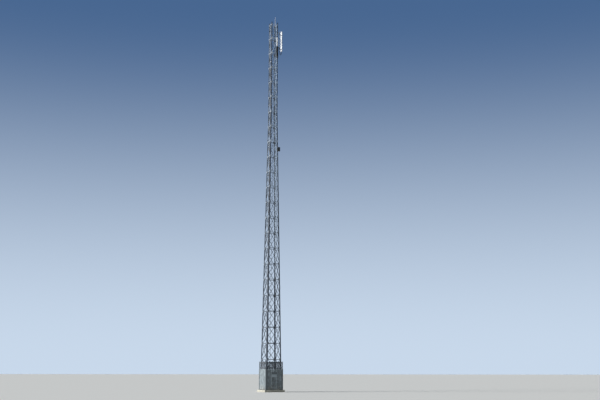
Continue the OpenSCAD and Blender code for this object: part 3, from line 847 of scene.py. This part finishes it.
def corner_trims():
    """Folded strips over the outermost ribs, which cover the corners where two sheets meet, darker than the
    sheet: painted shade along the corners.
    """
    outside = TRIM_FACE + TRIM_T
    top = CLAD_TOP + 0.012
    bm = bmesh.new()
    block(bm, (TRIM_FACE - TRIM_W, -outside, CLAD_BOTTOM), (outside, -TRIM_FACE, top))
    block(bm, (TRIM_FACE, -TRIM_FACE, CLAD_BOTTOM), (outside, TRIM_W - TRIM_FACE, top))
    trim = shape("corner_trim", bm)
    lay_out("corner_trims", "sheet", [(trim, turned(90 * corner, "Z")) for corner in range(4)], "trim_shade_coat")


def sheet_screws():
    """Screws with sealing washers that hold the sheets and the corner trims on their rails."""
    washer_r = 0.0085
    washer_t = 0.0015
    head_r = 0.005
    head_top = 0.0065
    uneven = 0.004
    bm = bmesh.new()
    prism(bm, 12, washer_r, 0.0, washer_t)
    prism(bm, 6, head_r, washer_t, head_top)
    screw = shape("sheet_screw", bm)
    flats = SHEET_RIBS - 1
    outer_rib = flats / 2 * SHEET_PITCH
    on_flats = [((i - (flats - 1) / 2) * SHEET_PITCH, SHEET_FACE) for i in range(flats)]
    on_trims = [(way * outer_rib, TRIM_FACE + TRIM_T) for way in (-1, 1)]
    places = []
    for side in range(4):
        for z in RAIL_Z:
            for x, face in on_flats + on_trims:
                where = turned(90 * side, "Z") @ moved(x, -face, z + dice.uniform(-uneven, uneven))
                places.append((screw, where @ turned(90, "X")))
    lay_out("sheet_screws", "bright_zinc", places)


def notice_plate():
    """A bare notice plate on the front sheet, riveted to two ribs, with a dark band across its head, which
    is painted shade.
    """
    half = 0.26
    bottom = 1.36
    top = 1.82
    plate_t = 0.002
    band_bottom = 1.62
    band_t = 0.001
    lip = 0.002
    rivet_r = 0.006
    rivet_top_r = 0.003
    rivet_h = 0.002
    low_row = bottom + 0.04
    high_row = band_bottom - 0.03
    face = -RIB_FACE - plate_t
    bm = bmesh.new()
    block(bm, (-half, face, bottom), (half, -RIB_FACE, top), 0.0006)
    for x, z in four_places(SHEET_PITCH, low_row, high_row):
        rivet = moved(x, face, z) @ turned(90, "X")
        prism(bm, 12, rivet_r, -rivet_h, rivet_h, upper=rivet_top_r, where=rivet)
    add_piece("notice_plate", shape("notice_plate", bm), "sheet", "plate_coat")
    bm = bmesh.new()
    block(bm, (-half - lip, face - band_t, band_bottom), (half + lip, face + SINK, top + lip), 0.0004)
    add_piece("plate_shade_band", shape("plate_shade_band", bm), "sheet", "shade_band_coat")


def ring_blade():
    """A flat blade, pointed at both ends."""
    half_wide = 0.015
    half_long = 0.036
    half_t = 0.0008
    bm = bmesh.new()
    prism(bm, 6, 1.0, -half_t, half_t)
    bmesh.ops.scale(bm, vec=(half_wide, half_long, 1), verts=bm.verts)
    return shape("ring_blade", bm)


def ring_blades():
    """Blades along the guard rings, two crossed at each place, none quite like the next."""
    blade = ring_blade()
    blades_round = 38
    shift = 0.15
    lean = 48
    sway = 9
    bend = 6
    row_face = RING_T - SINK
    places = []
    for side in range(4):
        plane = turned(90 * side, "Z") @ moved(0, -RING_FACE, RING_Z) @ turned(90, "X")
        for depth, count in ((row_face, RING_COUNT), (-row_face, RING_COUNT - 1)):
            for i in range(count):
                ring = plane @ moved((i - (count - 1) / 2) * RING_PITCH, 0, depth)
                for k in range(blades_round):
                    angle = 360 * (k + dice.uniform(-shift, shift)) / blades_round
                    spot = ring @ turned(angle, "Z") @ moved(RING_R - RING_STRIP / 2, 0, 0)
                    for way in (-1, 1):
                        crossed = turned(way * lean + dice.uniform(-sway, sway), "Z")
                        bent = turned(dice.uniform(-bend, bend), "Y")
                        places.append((blade, spot @ crossed @ bent))
    # The blades take the rings' darker zinc, which is painted shade.
    lay_out("ring_blades", "bright_zinc", places, "shaded_ring_zinc")


# Cables and equipment

def feeder_u(z, i):
    """How far across the left face one feeder cable runs at a height."""
    return half_w(z) - FEEDER_IN - (i + 0.5) * FEEDER_PITCH


def feeder_clamps():
    """Clamp blocks that hold each feeder cable to its hanger."""
    half_wide = 0.018
    half_high = 0.0145
    clamp_bottom = -0.034
    screw_r = 0.007
    screw_end = -0.041
    bm = bmesh.new()
    block(bm, (-half_wide, -half_high, clamp_bottom), (half_wide, half_high, 0.0), 0.003)
    prism(bm, 6, screw_r, screw_end, clamp_bottom)
    clamp = shape("feeder_clamp", bm)
    places = []
    for level in range(1, int(FEEDER_TOP / BAY) + 1):
        tier = min(3, (level - 1) // TIER_BAYS)
        z = level * BAY
        v = up(z, tier) + BRACE_SIZES[tier] / 2 + HANGER_HALF + SEAT
        for i in range(FEEDER_COUNT):
            places.append((clamp, on_side(3, tier, feeder_u(z, i), v, FEEDER_DEPTH + FEEDER_R)))
    lay_out("feeder_clamps", "dark_paint", places)


def feeder_plugs():
    """Sealed connectors on the top ends of the feeder cables."""
    body_r = 0.0175
    body_top = 0.03
    neck_r = 0.011
    neck_top = 0.045
    cap_r = 0.0125
    cap_top = 0.06
    bm = bmesh.new()
    prism(bm, 16, body_r, -body_top, body_top)
    prism(bm, 16, body_r, body_top, neck_top, upper=neck_r)
    prism(bm, 6, cap_r, neck_top, cap_top)
    plug = shape("feeder_plug", bm)
    x = -TOP_W / 2 - FEEDER_DEPTH
    places = [(plug, moved(x, -feeder_u(FEEDER_TOP, i), FEEDER_TOP)) for i in range(FEEDER_COUNT)]
    lay_out("feeder_plugs", "bright_zinc", places)


def at_antenna(x, y, z):
    """A place measured from the antenna pipe, x towards the antenna."""
    return moved(PIPE_X, PIPE_Y, z) @ turned(ANTENNA_YAW, "Z") @ moved(x, y, 0)


def antenna_bolts():
    """Bolts of the arms on the leg, of the pipe clamps and of the antenna's brackets."""
    bolt = bolt_pair(ARM_BOLT)
    small = bolt_head(SMALL_BOLT)
    leg_off = 0.019
    leg_past = 0.006
    arm_off = PIPE_R + 0.0055
    arm_in = 0.018
    arm_end = PIPE_X + PIPE_R + ARM_WALL
    clamp_off = PIPE_R + 0.0035
    clamp_in = 0.014
    clamp_end = -PIPE_R - CLAMP_WALL
    places = []
    for z in ARM_Z:
        for dy, dz in four_places(leg_off, -leg_past, ARM_H + leg_past):
            where = moved(TOP_W / 2 + ARM_PLATE, PIPE_Y + dy, z + dz) @ turned(90, "Y")
            bolt_through(places, bolt, where, ARM_PLATE + LEG_T)
        for dy, dz in four_places(arm_off, arm_in, ARM_H - arm_in):
            places.append((small, moved(arm_end, PIPE_Y + dy, z + dz) @ turned(90, "Y")))
    for z in CLAMP_Z:
        for dy, dz in four_places(clamp_off, clamp_in, CLAMP_H - clamp_in):
            places.append((small, at_antenna(clamp_end, dy, z + dz) @ turned(-90, "Y")))
        for reach in (0.08, 0.19):
            where = at_antenna(reach, -CLAMP_BEAM / 2, z + CLAMP_H / 2) @ turned(90, "X")
            bolt_through(places, bolt, where, CLAMP_BEAM)
    lay_out("antenna_bolts", "bright_zinc", places)


def antenna_brackets():
    """Small plates behind the antenna that the tilt clamps hold."""
    plate_t = 0.006
    plate_half = 0.045
    past = 0.02
    sunk = 0.001
    nut_off = 0.034
    nut_r = 0.006
    nut_half = 0.0025
    back = ANTENNA_BACK - plate_t
    bm = bmesh.new()
    block(bm, (back, -plate_half, -past), (ANTENNA_BACK + sunk, plate_half, CLAMP_H + past), 0.0015)
    for y, z in four_places(nut_off, -past / 2, CLAMP_H + past / 2):
        nut = moved(back - 0.002, y, z) @ turned(90, "Y")
        prism(bm, 6, nut_r, -nut_half, nut_half, where=nut)
    bracket = shape("antenna_bracket", bm)
    lay_out("antenna_brackets", "dull_zinc", [(bracket, at_antenna(0, 0, z)) for z in CLAMP_Z])


def antenna_plugs():
    """Coupling nuts on the antenna's connectors."""
    nut_r = 0.0145
    nut_top = -0.008
    nut_bottom = -0.027
    sleeve_r = 0.0095
    sleeve_bottom = -0.06
    bm = bmesh.new()
    prism(bm, 8, nut_r, nut_bottom, nut_top)
    prism(bm, 12, sleeve_r, sleeve_bottom, nut_bottom)
    plug = shape("antenna_plug", bm)
    places = [(plug, at_antenna(ANTENNA_REACH, (i - 1.5) * PLUG_PITCH, ANTENNA_BOTTOM)) for i in range(4)]
    lay_out("antenna_plugs", "bright_zinc", places)


def jumper_route(i):
    """From an antenna connector, past the pipe's foot, by arm and leg, to the lower radio unit."""
    side = i - 1.5
    out = PIPE_Y + side * 0.015
    low = 0.012 * i
    leg_x = TOP_W / 2 + 0.028
    radio_x = CHANNEL_X + side * SOCKET_PITCH
    radio_y = UNIT_BACK - RADIO_D / 2
    bottom = RADIO_Z[0]
    droop = [at_antenna(ANTENNA_REACH, side * PLUG_PITCH, ANTENNA_BOTTOM - 0.05),
             at_antenna(ANTENNA_REACH, side * PLUG_PITCH, ANTENNA_BOTTOM - 0.16),
             at_antenna(ANTENNA_REACH - 0.04, side * 0.026, ANTENNA_BOTTOM - 0.3 - low),
             at_antenna(ANTENNA_REACH - 0.14, side * 0.02, ANTENNA_BOTTOM - 0.36 - low),
             at_antenna(0.05, side * 0.015, ANTENNA_BOTTOM - 0.2 - low)]
    return [place.translation for place in droop] + [
        (PIPE_X - 0.03, out, ANTENNA_BOTTOM + 0.02),
        (PIPE_X - 0.052, out, ANTENNA_BOTTOM + 0.12),
        (PIPE_X - 0.085, out, ARM_Z[0] - 0.012),
        (leg_x + 0.045, out, ARM_Z[0] - 0.014),
        (leg_x, out, ARM_Z[0] - 0.1),
        (leg_x, out, bottom + 0.5),
        (leg_x, out, bottom + 0.1),
        (leg_x - 0.01, out - 0.03, bottom - 0.1),
        (radio_x + 0.06, radio_y + 0.05, bottom - 0.19 - low),
        (radio_x + 0.012, radio_y + 0.008, bottom - 0.15),
        (radio_x, radio_y, bottom - 0.03)]


def jumper_cables():
    """The four cables from the antenna to the lower radio unit."""
    run_rounds("jumper_cables", "cable_jacket", [jumper_route(i) for i in range(4)], JUMPER_R)


def cable_cleats():
    """Blocks on the leg, under the arm and on the pipe that hold the jumper cables."""
    half_wide = 0.034
    front = PIPE_Y - half_wide
    back = PIPE_Y + half_wide
    wider = 0.002
    leg_half = 0.012
    leg_low = TOP_W / 2 + SEAT
    leg_high = leg_low + 0.042
    arm_x = (TOP_W / 2 + PIPE_X) / 2 - 0.02
    arm_half = 0.01
    arm_low = ARM_Z[0] - 0.026
    arm_high = ARM_Z[0] + (ARM_H - ARM_BEAM) / 2 + SINK
    pipe_z = ANTENNA_BOTTOM + 0.12
    pipe_half = 0.01
    pipe_low = PIPE_X - PIPE_R - 0.038
    pipe_high = PIPE_X + PIPE_R + 0.004
    bm = bmesh.new()
    for lift in (0.65, 0.52, 0.2):
        z = RADIO_BOTTOM + lift
        block(bm, (leg_low, front - wider, z - leg_half), (leg_high, back + wider, z + leg_half), 0.003)
    block(bm, (arm_x - arm_half, front, arm_low), (arm_x + arm_half, back, arm_high), 0.003)
    block(bm, (pipe_low, front, pipe_z - pipe_half), (pipe_high, back, pipe_z + pipe_half), 0.006)
    add_piece("cable_cleats", shape("cable_cleats", bm), "dark_paint")


def unit_sockets():
    """Connectors under the lower radio unit and links between the upper one and the filter unit."""
    sunk = 0.001
    body_r = 0.011
    nut_r = 0.0135
    nut_top = -0.012
    nut_bottom = -0.036
    bm = bmesh.new()
    prism(bm, 12, body_r, nut_top, sunk)
    prism(bm, 8, nut_r, nut_bottom, nut_top)
    socket = shape("unit_socket", bm)
    collar_r = 0.012
    collar_h = 0.024
    cable_in = 0.02
    gap = 2 * UNIT_GAP
    bm = bmesh.new()
    prism(bm, 12, collar_r, -sunk, collar_h)
    prism(bm, 12, JUMPER_R, cable_in, gap - cable_in)
    prism(bm, 12, collar_r, gap - collar_h, gap + sunk)
    link = shape("filter_link", bm)
    y = UNIT_BACK - RADIO_D / 2
    places = [(socket, moved(CHANNEL_X + (i - 1.5) * SOCKET_PITCH, y, RADIO_Z[0])) for i in range(4)]
    places += [(link, moved(CHANNEL_X + dx, y, RADIO_Z[1] + RADIO_H)) for dx in (-0.03, 0.03)]
    lay_out("unit_sockets", "bright_zinc", places)


def radio_handles():
    """A carrying handle near the top of each radio unit's face."""
    handle_r = 0.005
    drop = 0.014
    face = UNIT_BACK - RADIO_D
    foot = face + 0.004
    elbow = face - 0.016
    grip = face - 0.026
    outline = [(-0.06, foot), (-0.06, elbow), (-0.045, grip), (0.045, grip), (0.06, elbow), (0.06, foot)]
    routes = [[(CHANNEL_X + x, y, z + RADIO_H - drop) for x, y in outline] for z in RADIO_Z]
    run_rounds("radio_handles", "dark_paint", routes, handle_r)


def filter_lid():
    """The filter unit's screwed lid."""
    face = UNIT_BACK - FILTER_D
    half = FILTER_W / 2 - 0.006
    bottom = FILTER_Z + 0.01
    top = FILTER_Z + FILTER_H - 0.01
    lid_t = 0.004
    sunk = 0.001
    bm = bmesh.new()
    block(bm, (CHANNEL_X - half, face - lid_t, bottom), (CHANNEL_X + half, face + sunk, top), 0.0015)
    add_piece("filter_lid", shape("filter_lid", bm), "pale_shell")
    screw_r = 0.004
    screw_h = 0.0025
    bm = bmesh.new()
    prism(bm, 10, screw_r, 0.0, screw_h)
    screw = shape("lid_screw", bm)
    rows = 10
    edge = 0.025
    across = FILTER_W / 2 - 0.015
    places = []
    for i in range(rows):
        for way in (-1, 1):
            z = FILTER_Z + edge + i * (FILTER_H - 2 * edge) / (rows - 1)
            places.append((screw, moved(CHANNEL_X + way * across, face - lid_t, z) @ turned(90, "X")))
    lay_out("lid_screws", "bright_zinc", places)


def link_box_door():
    """Door, hinges, latch, rain strip and blanking plugs of the link box."""
    half = LINK_W / 2
    front = LINK_FRONT
    sunk = 0.001
    edge = 0.012
    door_t = 0.006
    hinge_h = 0.04
    hinge_in = 0.06
    hinge_left = -half - 0.006
    hinge_right = -half + 0.016
    hinge_back = front - 0.02
    hinge_front = front + 0.008
    latch_left = half - 0.04
    latch_right = half - 0.024
    latch_y = LINK_H / 2
    latch_half = 0.02
    latch_front = front + 0.014
    lip = 0.004
    plug_r = 0.014
    plug_half = 0.007
    plug_depth = front - 0.08
    bm = bmesh.new()
    block(bm, (edge - half, edge, front - sunk), (half - edge, LINK_H - edge, front + door_t), 0.003)
    for y in (hinge_in, LINK_H - hinge_in - hinge_h):
        block(bm, (hinge_left, y, hinge_back), (hinge_right, y + hinge_h, hinge_front), 0.002)
    block(bm, (latch_left, latch_y - latch_half, front + door_t - sunk),
          (latch_right, latch_y + latch_half, latch_front), 0.002)
    block(bm, (-half - lip, LINK_H - sunk, front - LINK_D), (half + lip, LINK_H + lip, latch_front))
    for x in (-0.1, -0.06):
        plug = moved(x, sunk - plug_half, plug_depth) @ turned(90, "X")
        prism(bm, 8, plug_r, -plug_half, plug_half, where=plug)
    where = on_side(0, 0, half_w(LINK_Z), up(LINK_Z, 0), 0)
    lay_out("link_box_door", "dark_paint", [(shape("link_box_door", bm), where)])


make_camera()
make_key()
make_world()
make_floor()
finishes = make_finishes()
dress_cad()
lattice_bolts()
splice_bolts()
foot_bolts()
corner_trims()
sheet_screws()
notice_plate()
ring_blades()
feeder_clamps()
feeder_plugs()
antenna_bolts()
antenna_brackets()
antenna_plugs()
jumper_cables()
cable_cleats()
unit_sockets()
radio_handles()
filter_lid()
link_box_door()
